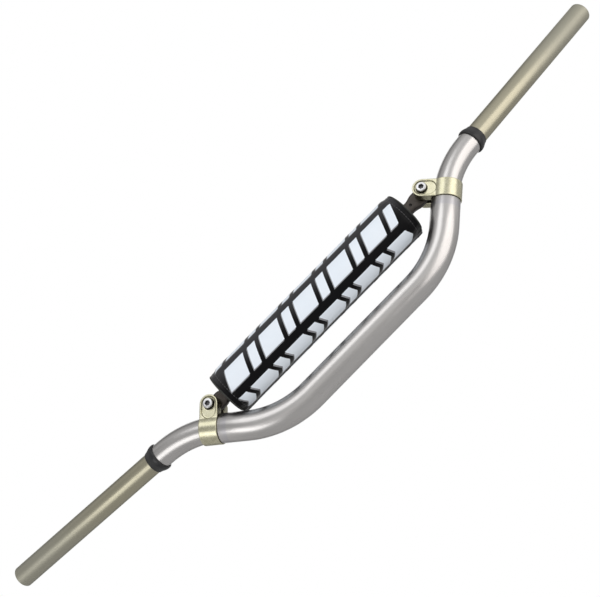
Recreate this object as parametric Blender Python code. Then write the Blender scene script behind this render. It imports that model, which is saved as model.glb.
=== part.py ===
"""Motocross handlebar with a tube inside a tube, a clamped crossbar and a round foam pad.

The bar is drawn as it is mounted on a bike: X runs along the bar, the rider sits on the +Y side,
Z points up in the plane of the risers. The origin is the centre of the straight middle.
Left and right are as seen from the front, so the right end is on +X. All sizes are metres.
Stations are lengths along the bar's centre line, measured from the middle.
"""

import math

import bmesh
import bpy
from mathutils import Matrix, Vector

# Centre line of the bar, right half
MIDDLE_HALF = 0.0685
LOWER_BEND_RADIUS = 0.099
RISER_ANGLE = math.radians(40.5)
RISER_LENGTH = 0.031
UPPER_BEND_RADIUS = 0.109
GRIP_SWEEP = math.radians(8.1)
GRIP_RISE = math.radians(8.6)
GRIP_LENGTH = 0.202
BEND_STEPS = 6

# Gap that neighbouring pieces keep
CLEARANCE = 0.0003

# Inner tube, which carries the grips
INNER_DIAMETER = 0.0222
INNER_WALL = 0.0026
INNER_END_CHAMFER = 0.0005
INNER_SIDES = 24

# Outer tube, swaged down to a neck past each clamp's lower edge
OUTER_DIAMETER = 0.0286
OUTER_WALL = 0.0019
NECK_DIAMETER = 0.0250
SHOULDER_LENGTH = 0.0020
SHOULDER_SHOWS = 0.0007
OUTER_END_PAST_RISER = 0.0720
OUTER_SIDES = 28

# Collars that close the joint between the two tubes
COLLAR_OVERLAP = 0.0050
COLLAR_NOSE = 0.0060
COLLAR_DIAMETER = 0.0284
COLLAR_NOSE_DIAMETER = 0.0238
COLLAR_LIP_DIAMETER = 0.0270
COLLAR_LIP_LENGTH = 0.0010
COLLAR_SHOULDER_DIAMETER = 0.0266
COLLAR_SHOULDER_LENGTH = 0.0029
COLLAR_SIDES = 32

# Clamps between bar and crossbar
CLAMP_PAST_RISER = 0.0053
CLAMP_WIDTH = 0.0186
CLAMP_BAND_DIAMETER = 0.0306
CLAMP_EAR_THICKNESS = 0.0095
CLAMP_BOLT_REACH = 0.0222
CLAMP_EDGE = 0.0008
EAR_INSET = 0.0003
EDGE_STEPS = 2
CLAMP_SIDES = 40
EAR_STEPS = 14
POCKET_RIM = 0.0020
POCKET_DEPTH = 0.0015
POCKET_LENGTH = 0.0070
POCKET_STEPS = 10
COUNTERBORE_DEPTH = 0.0025

# Clamp screws
SCREW_DIAMETER = 0.0060
SCREW_HEAD_DIAMETER = 0.0100
SCREW_HEAD_HEIGHT = 0.0060
SCREW_HEAD_EDGE = 0.0005
SCREW_TIP_RECESS = 0.0008
SOCKET_ACROSS_FLATS = 0.0050
SOCKET_DEPTH = 0.0030
SCREW_SIDES = 24

# Crossbar
CROSSBAR_DIAMETER = 0.0127
CROSSBAR_FLAT_THICKNESS = 0.0064
CROSSBAR_FLAT_WIDTH = 0.0170
FLAT_FROM_BOLT = 0.0240
FLATTENING_LENGTH = 0.0090
SPADE_FROM_BOLT = 0.0100
VENT_DIAMETER = 0.0028
VENT_FROM_BOLT = 0.0178
VENT_SIDES = 12
CROSSBAR_SIDES = 24
TAPER_STEPS = 4
END_STEPS = 5
TIP_ANGLE = math.radians(80.0)
ROUND = 2.0
FLAT = 6.0

# Pad on the crossbar
PAD_DIAMETER = 0.0496
PAD_PLAY = 0.0093
PAD_TUBE_GAP = 0.0004
COVER_THICKNESS = 0.0010
FLAP_WIDTH = 0.0230
FLAP_RISE = 0.0080
TAPE_WIDTH = 0.0170
TAPE_SHIFT = 0.0011
TAPE_THICKNESS = 0.0007
SEAM_ANGLE = math.radians(-18.0)
HEM_DEPTH = 0.0016
END_THICKNESS = 0.0015
BORE_GAP = 0.0008
FOAM_SLIT = 0.0010
PAD_SIDES = 44
LAP_STEPS = 16
TAPE_STEPS = 8

# Shading and bevels: an edge sharper than this is a crease, and one sharper than that gets a bevel
CREASE = math.radians(30.0)
CORNER = math.radians(60.0)
WELD = 1e-6

# Sizes that follow from the ones above
RISER_END = MIDDLE_HALF + LOWER_BEND_RADIUS * RISER_ANGLE + RISER_LENGTH
CLAMP_STATION = RISER_END + CLAMP_PAST_RISER
OUTER_END_STATION = RISER_END + OUTER_END_PAST_RISER
NECK_BORE = INNER_DIAMETER + 2 * CLEARANCE
BAND_RADIUS = CLAMP_BAND_DIAMETER / 2
SLOT_HALF = CROSSBAR_FLAT_THICKNESS / 2 + CLEARANCE
EAR_FACE = SLOT_HALF + CLAMP_EAR_THICKNESS
EAR_RADIUS = CLAMP_WIDTH / 2 - EAR_INSET
POCKET_RADIUS = EAR_RADIUS - POCKET_RIM
SCREW_SEAT = EAR_FACE - POCKET_DEPTH - COUNTERBORE_DEPTH
SHOULDER_START = CLAMP_STATION - CLAMP_WIDTH / 2 - SHOULDER_SHOWS
SHOULDER_END = SHOULDER_START + SHOULDER_LENGTH
COLLAR_START = OUTER_END_STATION - COLLAR_OVERLAP
COVER_INNER = PAD_DIAMETER / 2 - COVER_THICKNESS
FOAM_RADIUS = COVER_INNER - CLEARANCE

MIDDLE_DIRECTION = Vector((1, 0, 0))
RISER_DIRECTION = Vector((math.cos(RISER_ANGLE), 0, math.sin(RISER_ANGLE)))
GRIP_DIRECTION = Vector((
    math.cos(GRIP_RISE) * math.cos(GRIP_SWEEP),
    math.cos(GRIP_RISE) * math.sin(GRIP_SWEEP),
    math.sin(GRIP_RISE),
))


def clear_scene():
    for item in list(bpy.data.objects):
        bpy.data.objects.remove(item, do_unlink=True)


def material(name, colour, roughness, metallic=0.0):
    finish = bpy.data.materials.new(name)
    finish.use_nodes = True
    shader = finish.node_tree.nodes["Principled BSDF"]
    shader.inputs["Base Color"].default_value = (*colour, 1.0)
    shader.inputs["Roughness"].default_value = roughness
    shader.inputs["Metallic"].default_value = metallic
    finish.diffuse_color = (*colour, 1.0)
    return finish


def add_object(name, mesh_builder, finish=None, side=1):
    """Turns a bmesh into an object; side -1 mirrors it to the bar's left half."""
    if side < 0:
        bmesh.ops.scale(mesh_builder, vec=(-1, 1, 1), verts=mesh_builder.verts)
        bmesh.ops.reverse_faces(mesh_builder, faces=mesh_builder.faces)
    mesh = bpy.data.meshes.new(name)
    mesh_builder.to_mesh(mesh)
    mesh_builder.free()
    mesh.shade_smooth()
    mesh.set_sharp_from_angle(angle=CREASE)
    item = bpy.data.objects.new(name, mesh)
    bpy.context.scene.collection.objects.link(item)
    if finish is None:
        item.hide_render = True
        item.display_type = "WIRE"
    else:
        mesh.materials.append(finish)
    return item


def boolean(item, cutter, operation="DIFFERENCE"):
    step = item.modifiers.new(cutter.name, "BOOLEAN")
    step.operation = operation
    step.object = cutter
    step.solver = "EXACT"


def new_verts(geometry):
    return [part for part in geometry if isinstance(part, bmesh.types.BMVert)]


def rim_edges(geometry):
    """Edges of an extrusion that lie wholly on its new end."""
    verts = set(new_verts(geometry))
    edges = [part for part in geometry if isinstance(part, bmesh.types.BMEdge)]
    return [edge for edge in edges if edge.verts[0] in verts and edge.verts[1] in verts]


def arc_step(axis, radius, angle):
    """Motion along an arc that leaves the local X axis and turns about the given local axis."""
    centre = axis.cross(MIDDLE_DIRECTION) * radius
    return Matrix.Translation(centre) @ Matrix.Rotation(angle, 4, axis) @ Matrix.Translation(-centre)


def centre_line():
    """Segments of the right half: length, turning axis in the local frame, and radius."""
    lower_axis = Vector((0, -1, 0))
    riser_frame = Matrix.Rotation(RISER_ANGLE, 4, lower_axis)
    local_grip = riser_frame.inverted() @ GRIP_DIRECTION
    upper_axis = MIDDLE_DIRECTION.cross(local_grip).normalized()
    upper_angle = RISER_DIRECTION.angle(GRIP_DIRECTION)
    return (
        (MIDDLE_HALF, None, 0),
        (LOWER_BEND_RADIUS * RISER_ANGLE, lower_axis, LOWER_BEND_RADIUS),
        (RISER_LENGTH, None, 0),
        (UPPER_BEND_RADIUS * upper_angle, upper_axis, UPPER_BEND_RADIUS),
        (GRIP_LENGTH, None, 0),
    )


CENTRE_LINE = centre_line()
BAR_HALF = sum(length for length, _, _ in CENTRE_LINE)


def frame_at(station):
    """Matrix whose X axis is the bar's direction at a station."""
    matrix = Matrix.Identity(4)
    left = station
    for length, axis, radius in CENTRE_LINE:
        run = min(left, length)
        if axis is None:
            matrix = matrix @ Matrix.Translation((run, 0, 0))
        else:
            matrix = matrix @ arc_step(axis, radius, run / radius)
        left -= run
        if left <= 0:
            break
    return matrix


def stations_between(start, end):
    """Start, every ring of the bar between them, and end."""
    rings = []
    reached = 0
    for length, axis, _ in CENTRE_LINE:
        steps = 1 if axis is None else BEND_STEPS
        rings += [reached + length * step / steps for step in range(1, steps + 1)]
        reached += length
    inside = [ring for ring in rings if start + CLEARANCE < ring < end - CLEARANCE]
    return [start, *inside, end]


def along(stretches):
    """Profile points for stretches of (start station, start radius, end station, end radius)."""
    profile = []
    for start, start_radius, end, end_radius in stretches:
        for ring in stations_between(start, end):
            share = (ring - start) / (end - start)
            profile.append((ring, start_radius + (end_radius - start_radius) * share))
    cleaned = [profile[0]]
    for point in profile[1:]:
        if math.dist(point, cleaned[-1]) > WELD:
            cleaned.append(point)
    return cleaned


def sweep(profile, sides):
    """Extrudes a circle along the bar, through rings of (station, radius)."""
    builder = bmesh.new()
    station, radius = profile[0]
    upright = frame_at(station) @ Matrix.Rotation(math.pi / 2, 4, "Y")
    bmesh.ops.create_circle(builder, segments=sides, radius=radius, matrix=upright)
    edges = list(builder.edges)
    for next_station, next_radius in profile[1:]:
        grown = bmesh.ops.extrude_edge_only(builder, edges=edges)["geom"]
        growth = next_radius / radius
        scale = Matrix.Diagonal((1, growth, growth, 1))
        step = frame_at(next_station) @ scale @ frame_at(station).inverted()
        bmesh.ops.transform(builder, matrix=step, verts=new_verts(grown))
        edges = rim_edges(grown)
        station = next_station
        radius = next_radius
    return builder


def mirror_to_whole(builder):
    """Adds the left half and welds it to the right half in the middle plane."""
    geometry = [*builder.verts, *builder.edges, *builder.faces]
    bmesh.ops.mirror(builder, geom=geometry, axis="X", merge_dist=WELD)
    bmesh.ops.remove_doubles(builder, verts=builder.verts, dist=WELD)
    bmesh.ops.recalc_face_normals(builder, faces=builder.faces)


def turned(points, sides, matrix):
    """Revolves (along X, radius) points about the local X axis into a closed ring."""
    builder = bmesh.new()
    verts = [builder.verts.new((x, 0, radius)) for x, radius in points]
    edges = [builder.edges.new((verts[i], verts[(i + 1) % len(verts)])) for i in range(len(verts))]
    bmesh.ops.spin(
        builder, geom=[*verts, *edges], cent=(0, 0, 0), axis=(1, 0, 0),
        angle=2 * math.pi, steps=sides, use_merge=True, use_duplicate=False,
    )
    bmesh.ops.remove_doubles(builder, verts=builder.verts, dist=WELD)
    bmesh.ops.recalc_face_normals(builder, faces=builder.faces)
    bmesh.ops.transform(builder, matrix=matrix, verts=builder.verts)
    return builder


def prism(outline, depth_from, depth_to, matrix):
    """Extrudes an outline of (X, Z) points along local Y."""
    builder = bmesh.new()
    verts = [builder.verts.new((x, depth_from, z)) for x, z in outline]
    face = builder.faces.new(verts)
    grown = bmesh.ops.extrude_face_region(builder, geom=[face])["geom"]
    bmesh.ops.translate(builder, vec=(0, depth_to - depth_from, 0), verts=new_verts(grown))
    bmesh.ops.recalc_face_normals(builder, faces=builder.faces)
    bmesh.ops.transform(builder, matrix=matrix, verts=builder.verts)
    return builder


def arc(centre_x, centre_z, radius, start, end, steps):
    return [
        (
            centre_x + radius * math.cos(start + (end - start) * step / steps),
            centre_z + radius * math.sin(start + (end - start) * step / steps),
        )
        for step in range(steps + 1)
    ]


def rod(radius, depth_from, depth_to, sides, matrix):
    """Cylinder along local Y, turned by half a side so that no corner lies on its middle planes."""
    builder = bmesh.new()
    middle = (depth_from + depth_to) / 2
    upright = Matrix.Translation((0, middle, 0)) @ Matrix.Rotation(math.pi / 2, 4, "X")
    upright = upright @ Matrix.Rotation(math.pi / sides, 4, "Z")
    bmesh.ops.create_cone(
        builder, cap_ends=True, segments=sides, radius1=radius, radius2=radius,
        depth=depth_to - depth_from, matrix=matrix @ upright,
    )
    return builder


def round_corners(builder):
    corners = [edge for edge in builder.edges if edge.calc_face_angle() > CORNER]
    bmesh.ops.bevel(
        builder, geom=corners, offset=CLAMP_EDGE, segments=EDGE_STEPS, profile=0.5,
        affect="EDGES", material=-1,
    )


def clamp_frame():
    """X along the riser, Y to the rider, Z from the bar to the crossbar."""
    return frame_at(RISER_END) @ Matrix.Translation((CLAMP_PAST_RISER, 0, 0))


CLAMP_FRAME = clamp_frame()
BOLT_FRAME = CLAMP_FRAME @ Matrix.Translation((0, 0, CLAMP_BOLT_REACH))
BOLT_POINT = BOLT_FRAME.translation
CROSSBAR_HEIGHT = BOLT_POINT.z


def pad_reach():
    """How far from the middle an end of the pad can be before it meets the bend of the bar."""
    room = LOWER_BEND_RADIUS - OUTER_DIAMETER / 2 - PAD_TUBE_GAP
    drop = LOWER_BEND_RADIUS - CROSSBAR_HEIGHT + PAD_DIAMETER / 2
    return MIDDLE_HALF + math.sqrt(room * room - drop * drop)


# The pad is pushed to the left as far as it goes
PAD_LEFT = -pad_reach()
PAD_RIGHT = pad_reach() - PAD_PLAY
PAD_MIDDLE = (PAD_LEFT + PAD_RIGHT) / 2
PAD_HALF = (PAD_RIGHT - PAD_LEFT) / 2
SPADE_START = -PAD_LEFT - HEM_DEPTH


def make_outer_tube(finish):
    outside = OUTER_DIAMETER / 2
    neck = NECK_DIAMETER / 2
    bore = outside - OUTER_WALL
    neck_bore = NECK_BORE / 2
    outer_skin = along((
        (0, outside, SHOULDER_START, outside),
        (SHOULDER_START, outside, SHOULDER_END, neck),
        (SHOULDER_END, neck, OUTER_END_STATION, neck),
    ))
    inner_skin = along((
        (0, bore, SHOULDER_START, bore),
        (SHOULDER_START, bore, SHOULDER_END, neck_bore),
        (SHOULDER_END, neck_bore, OUTER_END_STATION, neck_bore),
    ))
    builder = sweep(outer_skin + inner_skin[::-1], OUTER_SIDES)
    mirror_to_whole(builder)
    return add_object("outer_tube", builder, finish)


def make_inner_tube(finish):
    outside = INNER_DIAMETER / 2
    bore = outside - INNER_WALL
    chamfer_start = BAR_HALF - INNER_END_CHAMFER
    outer_skin = along((
        (0, outside, chamfer_start, outside),
        (chamfer_start, outside, BAR_HALF, outside - INNER_END_CHAMFER),
    ))
    inner_skin = along(((0, bore, BAR_HALF, bore),))
    builder = sweep(outer_skin + inner_skin[::-1], INNER_SIDES)
    mirror_to_whole(builder)
    return add_object("inner_tube", builder, finish)


def make_collar(name, side, finish):
    """Turned ring: a cup over the outer tube's end and a nose that tapers to the inner tube."""
    cup = NECK_DIAMETER / 2 + CLEARANCE
    throat = INNER_DIAMETER / 2 + CLEARANCE
    step = COLLAR_OVERLAP + CLEARANCE
    length = COLLAR_OVERLAP + COLLAR_NOSE
    profile = (
        (0, cup),
        (0, COLLAR_LIP_DIAMETER / 2),
        (COLLAR_LIP_LENGTH, COLLAR_DIAMETER / 2),
        (COLLAR_OVERLAP - COLLAR_LIP_LENGTH, COLLAR_DIAMETER / 2),
        (COLLAR_OVERLAP + COLLAR_SHOULDER_LENGTH, COLLAR_SHOULDER_DIAMETER / 2),
        (length, COLLAR_NOSE_DIAMETER / 2),
        (length, throat),
        (step, throat),
        (step, cup),
    )
    builder = turned(profile, COLLAR_SIDES, frame_at(COLLAR_START))
    return add_object(name, builder, finish, side)


def make_clamp(name, side, finish):
    """Split band round the riser with two ears that grip the crossbar's flat end."""
    half = CLAMP_WIDTH / 2
    band = rod(BAND_RADIUS, -half, half, CLAMP_SIDES, CLAMP_FRAME @ Matrix.Rotation(-math.pi / 2, 4, "Z"))
    round_corners(band)
    clamp = add_object(name, band, finish, side)

    outline = [(-EAR_RADIUS, 0), (EAR_RADIUS, 0)]
    outline += arc(0, CLAMP_BOLT_REACH, EAR_RADIUS, 0, math.pi, EAR_STEPS)
    ears = prism(outline, -EAR_FACE, EAR_FACE, CLAMP_FRAME)
    round_corners(ears)
    boolean(clamp, add_object(name + "_ears", ears, side=side), "UNION")

    mouth = SHOULDER_START - SHOULDER_LENGTH
    past = CLAMP_STATION + CLAMP_WIDTH
    wide = OUTER_DIAMETER / 2 + CLEARANCE
    narrow = NECK_DIAMETER / 2 + CLEARANCE
    step_start = SHOULDER_START + CLEARANCE
    step_end = SHOULDER_END + CLEARANCE
    bore = along((
        (mouth, wide, step_start, wide),
        (step_start, wide, step_end, narrow),
        (step_end, narrow, past, narrow),
    ))
    cutter = sweep(bore, OUTER_SIDES)
    bmesh.ops.holes_fill(cutter, edges=cutter.edges, sides=0)
    bmesh.ops.recalc_face_normals(cutter, faces=cutter.faces)
    boolean(clamp, add_object(name + "_bore", cutter, side=side))

    reach = CLAMP_BOLT_REACH + CLAMP_WIDTH
    slot = prism(
        [(-CLAMP_WIDTH, 0), (CLAMP_WIDTH, 0), (CLAMP_WIDTH, reach), (-CLAMP_WIDTH, reach)],
        -SLOT_HALF, SLOT_HALF, CLAMP_FRAME,
    )
    boolean(clamp, add_object(name + "_slot", slot, side=side))

    foot = CLAMP_BOLT_REACH - POCKET_LENGTH
    pocket = arc(0, CLAMP_BOLT_REACH, POCKET_RADIUS, 0, math.pi, POCKET_STEPS)
    pocket += arc(0, foot, POCKET_RADIUS, math.pi, 2 * math.pi, POCKET_STEPS)
    recess = prism(pocket, -EAR_FACE - BAND_RADIUS, -EAR_FACE + POCKET_DEPTH, CLAMP_FRAME)
    boolean(clamp, add_object(name + "_pocket", recess, side=side))

    counterbore = rod(
        SCREW_HEAD_DIAMETER / 2 + CLEARANCE, -EAR_FACE - BAND_RADIUS, -SCREW_SEAT, SCREW_SIDES, BOLT_FRAME)
    boolean(clamp, add_object(name + "_counterbore", counterbore, side=side))
    hole = rod(SCREW_DIAMETER / 2 + CLEARANCE, -2 * EAR_FACE, 2 * EAR_FACE, SCREW_SIDES, BOLT_FRAME)
    boolean(clamp, add_object(name + "_screw_hole", hole, side=side))
    return clamp


def make_screw(name, side, finish):
    """Socket head screw, its axis along Y."""
    head = SCREW_HEAD_DIAMETER / 2
    shank = SCREW_DIAMETER / 2
    under = -SCREW_SEAT - CLEARANCE
    top = under - SCREW_HEAD_HEIGHT
    tip = EAR_FACE - SCREW_TIP_RECESS
    profile = (
        (top, 0), (top, head - SCREW_HEAD_EDGE), (top + SCREW_HEAD_EDGE, head), (under, head),
        (under, shank), (tip - SCREW_HEAD_EDGE, shank), (tip, shank - SCREW_HEAD_EDGE), (tip, 0),
    )
    builder = bmesh.new()
    verts = [builder.verts.new((x, 0, radius)) for x, radius in profile]
    edges = [builder.edges.new((verts[i], verts[i + 1])) for i in range(len(verts) - 1)]
    bmesh.ops.spin(
        builder, geom=[*verts, *edges], cent=(0, 0, 0), axis=(1, 0, 0),
        angle=2 * math.pi, steps=SCREW_SIDES, use_merge=True, use_duplicate=False,
    )
    bmesh.ops.remove_doubles(builder, verts=builder.verts, dist=WELD)
    bmesh.ops.recalc_face_normals(builder, faces=builder.faces)
    to_y = Matrix.Translation(BOLT_POINT) @ Matrix.Rotation(math.pi / 2, 4, "Z")
    bmesh.ops.transform(builder, matrix=to_y, verts=builder.verts)
    screw = add_object(name, builder, finish, side)

    corner = SOCKET_ACROSS_FLATS / 2 / math.cos(math.pi / 6)
    socket = rod(corner, top - SOCKET_DEPTH, top + SOCKET_DEPTH, 6, Matrix.Translation(BOLT_POINT))
    boolean(screw, add_object(name + "_socket", socket, side=side))
    return screw


def smooth_step(share):
    return share * share * (3 - 2 * share)


def section(half_depth, half_height, squareness):
    """Superellipse in the YZ plane: 2 is an ellipse, more is flatter."""
    points = []
    for step in range(CROSSBAR_SIDES):
        angle = 2 * math.pi * step / CROSSBAR_SIDES
        c = math.cos(angle)
        s = math.sin(angle)
        points.append((
            half_depth * math.copysign(abs(c) ** (2 / squareness), c),
            half_height * math.copysign(abs(s) ** (2 / squareness), s),
        ))
    return points


def make_crossbar(finish):
    """Round bar, pressed flat towards each end and rounded off about its screw hole."""
    round_half = CROSSBAR_DIAMETER / 2
    flat_half = CROSSBAR_FLAT_THICKNESS / 2
    wide_half = CROSSBAR_FLAT_WIDTH / 2
    bolt = BOLT_POINT.x
    flat_start = bolt - FLAT_FROM_BOLT
    press_start = flat_start - FLATTENING_LENGTH
    stages = [(0, round_half, round_half, ROUND), (press_start, round_half, round_half, ROUND)]
    for step in range(1, TAPER_STEPS + 1):
        share = step / TAPER_STEPS
        ease = smooth_step(share)
        stages.append((
            press_start + FLATTENING_LENGTH * share,
            round_half + (flat_half - round_half) * ease,
            round_half,
            ROUND + (FLAT - ROUND) * ease,
        ))
    spade_end = bolt - SPADE_FROM_BOLT
    for step in range(TAPER_STEPS + 1):
        share = step / TAPER_STEPS
        height = round_half + (wide_half - round_half) * smooth_step(share)
        stages.append((SPADE_START + (spade_end - SPADE_START) * share, flat_half, height, FLAT))
    for step in range(END_STEPS + 1):
        angle = TIP_ANGLE * step / END_STEPS
        stages.append((bolt + wide_half * math.sin(angle), flat_half, wide_half * math.cos(angle), FLAT))

    builder = bmesh.new()
    ring = [builder.verts.new((0, y, z)) for y, z in section(round_half, round_half, ROUND)]
    edges = [builder.edges.new((ring[i - 1], ring[i])) for i in range(len(ring))]
    for x, half_depth, half_height, squareness in stages[1:]:
        grown = bmesh.ops.extrude_edge_only(builder, edges=edges)["geom"]
        for vert, (y, z) in zip(new_verts(grown), section(half_depth, half_height, squareness)):
            vert.co = (x, y, z)
        edges = rim_edges(grown)
    bmesh.ops.holes_fill(builder, edges=edges, sides=0)
    mirror_to_whole(builder)
    bmesh.ops.translate(builder, vec=(0, 0, CROSSBAR_HEIGHT), verts=builder.verts)
    crossbar = add_object("crossbar", builder, finish)

    for side, label in ((1, "right"), (-1, "left")):
        through = rod(
            SCREW_DIAMETER / 2 + CLEARANCE, -CROSSBAR_FLAT_WIDTH, CROSSBAR_FLAT_WIDTH,
            SCREW_SIDES, Matrix.Translation(BOLT_POINT),
        )
        boolean(crossbar, add_object("crossbar_screw_hole_" + label, through, side=side))
        at = Matrix.Translation((bolt - VENT_FROM_BOLT, 0, CROSSBAR_HEIGHT))
        vent = rod(VENT_DIAMETER / 2, -CROSSBAR_FLAT_WIDTH, CROSSBAR_FLAT_WIDTH, VENT_SIDES, at)
        boolean(crossbar, add_object("crossbar_vent_" + label, vent, side=side))
    return crossbar


def pad_outline(inner, outer, start, end, steps):
    """Band between two radii that may change along the angle; inner and outer are functions."""
    angles = [start + (end - start) * step / steps for step in range(steps + 1)]
    outside = [(outer(a) * math.cos(a), outer(a) * math.sin(a)) for a in angles]
    inside = [(inner(a) * math.cos(a), inner(a) * math.sin(a)) for a in reversed(angles)]
    return outside + inside


def pad_prism(outline, inset):
    """Extrudes an outline of (Y, Z) points along the crossbar, short of both ends by the inset."""
    turn = Matrix.Translation((PAD_MIDDLE, 0, CROSSBAR_HEIGHT)) @ Matrix.Rotation(math.pi / 2, 4, "Z")
    reach = PAD_HALF - inset
    return prism(outline, -reach, reach, turn)


def constant(value):
    return lambda angle: value


def make_pad_foam(finish):
    """Foam sleeve, slit along its length so that it can be pushed over the crossbar."""
    bore = CROSSBAR_DIAMETER / 2 + BORE_GAP
    points = []
    for radius, direction in ((FOAM_RADIUS, 1), (bore, -1)):
        half_slit = math.asin(FOAM_SLIT / 2 / radius)
        start = SEAM_ANGLE + half_slit
        end = SEAM_ANGLE + 2 * math.pi - half_slit
        ring = arc(0, 0, radius, start, end, PAD_SIDES)
        points += ring[::direction]
    return add_object("pad_foam", pad_prism(points, HEM_DEPTH + END_THICKNESS + CLEARANCE), finish)


def make_pad_cover(finish):
    """Vinyl sleeve whose flap laps over its own edge and the closing tape."""
    lap = FLAP_WIDTH / (PAD_DIAMETER / 2)
    rise = FLAP_RISE / (PAD_DIAMETER / 2)
    lift = 2 * TAPE_THICKNESS + 3 * CLEARANCE + COVER_THICKNESS
    first = SEAM_ANGLE - lap / 2
    last = first + 2 * math.pi + lap

    def raised(angle):
        before = last - lap - rise
        share = min(max((angle - before) / rise, 0), 1)
        return lift * smooth_step(share)

    outline = pad_outline(
        lambda angle: COVER_INNER + raised(angle),
        lambda angle: COVER_INNER + COVER_THICKNESS + raised(angle),
        first, last, PAD_SIDES + LAP_STEPS,
    )
    return add_object("pad_cover", pad_prism(outline, 0), finish)


def make_tape(name, level, finish):
    """Strip of closing tape under the flap; level 0 lies on the sleeve and level 1 on the flap."""
    half = TAPE_WIDTH / PAD_DIAMETER
    centre = SEAM_ANGLE + TAPE_SHIFT / (PAD_DIAMETER / 2)
    low = PAD_DIAMETER / 2 + CLEARANCE + level * (TAPE_THICKNESS + CLEARANCE)
    high = low + TAPE_THICKNESS
    outline = pad_outline(constant(low), constant(high), centre - half, centre + half, TAPE_STEPS)
    return add_object(name, pad_prism(outline, 2 * HEM_DEPTH), finish)


def make_pad_end(name, side, finish):
    """Vinyl disc that closes the pad round the crossbar, a little inside the sleeve's hem."""
    inside = CROSSBAR_DIAMETER / 2 + BORE_GAP
    near = PAD_HALF - HEM_DEPTH - END_THICKNESS
    profile = (
        (near, inside), (near, FOAM_RADIUS), (near + END_THICKNESS, FOAM_RADIUS),
        (near + END_THICKNESS, inside),
    )
    middle = Vector((PAD_MIDDLE * side, 0, CROSSBAR_HEIGHT))
    builder = turned(profile, PAD_SIDES, Matrix.Translation(middle))
    return add_object(name, builder, finish, side)


def main():
    clear_scene()
    silver = material("satin_silver", (0.72, 0.71, 0.70), 0.28, 1.0)
    bronze = material("olive_bronze", (0.50, 0.47, 0.38), 0.32, 1.0)
    black = material("black_collar", (0.03, 0.03, 0.03), 0.45)
    gold = material("champagne_gold", (0.78, 0.75, 0.60), 0.35, 1.0)
    bright = material("bright_screw", (0.80, 0.80, 0.80), 0.22, 1.0)
    dark = material("dark_crossbar", (0.10, 0.09, 0.085), 0.4, 1.0)
    foam = material("grey_foam", (0.10, 0.10, 0.10), 0.9)
    vinyl = material("black_vinyl", (0.012, 0.012, 0.014), 0.3)
    tape = material("grey_tape", (0.25, 0.25, 0.26), 0.8)

    make_outer_tube(silver)
    make_inner_tube(bronze)
    for side, label in ((1, "right"), (-1, "left")):
        make_collar("collar_" + label, side, black)
        make_clamp("clamp_" + label, side, gold)
        make_screw("clamp_screw_" + label, side, bright)
        make_pad_end("pad_end_" + label, side, vinyl)
    make_crossbar(dark)
    make_pad_foam(foam)
    make_pad_cover(vinyl)
    make_tape("loop_tape", 0, tape)
    make_tape("hook_tape", 1, tape)


main()
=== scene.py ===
"""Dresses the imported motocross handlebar: drawn tubes, forged clamps, the sewn pad, light and camera.

Everything is in metres and in the frame's own axes: X along the bar, the rider on +Y, Z up.
"""

import math

import bmesh
import bpy
from mathutils import Matrix, Vector, noise
from mathutils.bvhtree import BVHTree


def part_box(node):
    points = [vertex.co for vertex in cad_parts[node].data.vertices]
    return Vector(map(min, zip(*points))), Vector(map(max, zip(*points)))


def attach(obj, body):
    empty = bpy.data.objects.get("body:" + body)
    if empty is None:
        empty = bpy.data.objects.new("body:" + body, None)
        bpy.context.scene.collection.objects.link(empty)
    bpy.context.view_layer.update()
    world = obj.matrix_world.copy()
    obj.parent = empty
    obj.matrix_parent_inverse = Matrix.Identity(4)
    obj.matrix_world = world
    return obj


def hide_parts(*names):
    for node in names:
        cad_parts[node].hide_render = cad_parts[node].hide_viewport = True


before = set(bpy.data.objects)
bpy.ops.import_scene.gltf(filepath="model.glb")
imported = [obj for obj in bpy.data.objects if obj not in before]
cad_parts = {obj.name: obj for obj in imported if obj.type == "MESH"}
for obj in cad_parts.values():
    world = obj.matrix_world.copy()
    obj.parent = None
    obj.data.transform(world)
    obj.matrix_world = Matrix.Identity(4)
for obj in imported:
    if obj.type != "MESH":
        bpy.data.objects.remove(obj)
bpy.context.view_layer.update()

# Centre line of the bar, right half, as in the frame
MIDDLE_HALF = 0.0685
LOWER_BEND_RADIUS = 0.099
RISER_ANGLE = math.radians(40.5)
RISER_LENGTH = 0.031
UPPER_BEND_RADIUS = 0.109
GRIP_SWEEP = math.radians(8.1)
GRIP_RISE = math.radians(8.6)
GRIP_LENGTH = 0.202
BEND_STEPS = 22
RISER_END = MIDDLE_HALF + LOWER_BEND_RADIUS * RISER_ANGLE + RISER_LENGTH

# Tubes
TUBE_SIDES = 72
INNER_DIAMETER = 0.0222
INNER_WALL = 0.0026
INNER_EDGE = 0.0006
OUTER_DIAMETER = 0.0286
OUTER_WALL = 0.0019
NECK_DIAMETER = 0.0250
NECK_BORE = 0.0228
SHOULDER_BEFORE_CLAMP = 0.0007
SHOULDER_LENGTH = 0.0020
SHOULDER_STEPS = 6
RING_START = 0.1560
RING_EDGE = 0.0015
RING_FADES_FROM = 0.0025
RING_FADES_TO = 0.0080
RING_PAST_SHOULDER = 0.0040
NECK_LENGTH = 0.0720
OUTER_END = RISER_END + NECK_LENGTH
GREY_FROM = 0.0500
GREY_TO = 0.1600
FIT = 0.0003

# Collars
COLLAR_OVERLAP = 0.0050
COLLAR_NOSE = 0.0060
COLLAR_DIAMETER = 0.0284
COLLAR_NOSE_DIAMETER = 0.0238
COLLAR_LIP = 0.0009
COLLAR_STRAIGHT = 0.00275
COLLAR_EASE = 0.65
COLLAR_EDGE = 0.0004
COLLAR_SIDES = 96
EASE_STEPS = 14

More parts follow.
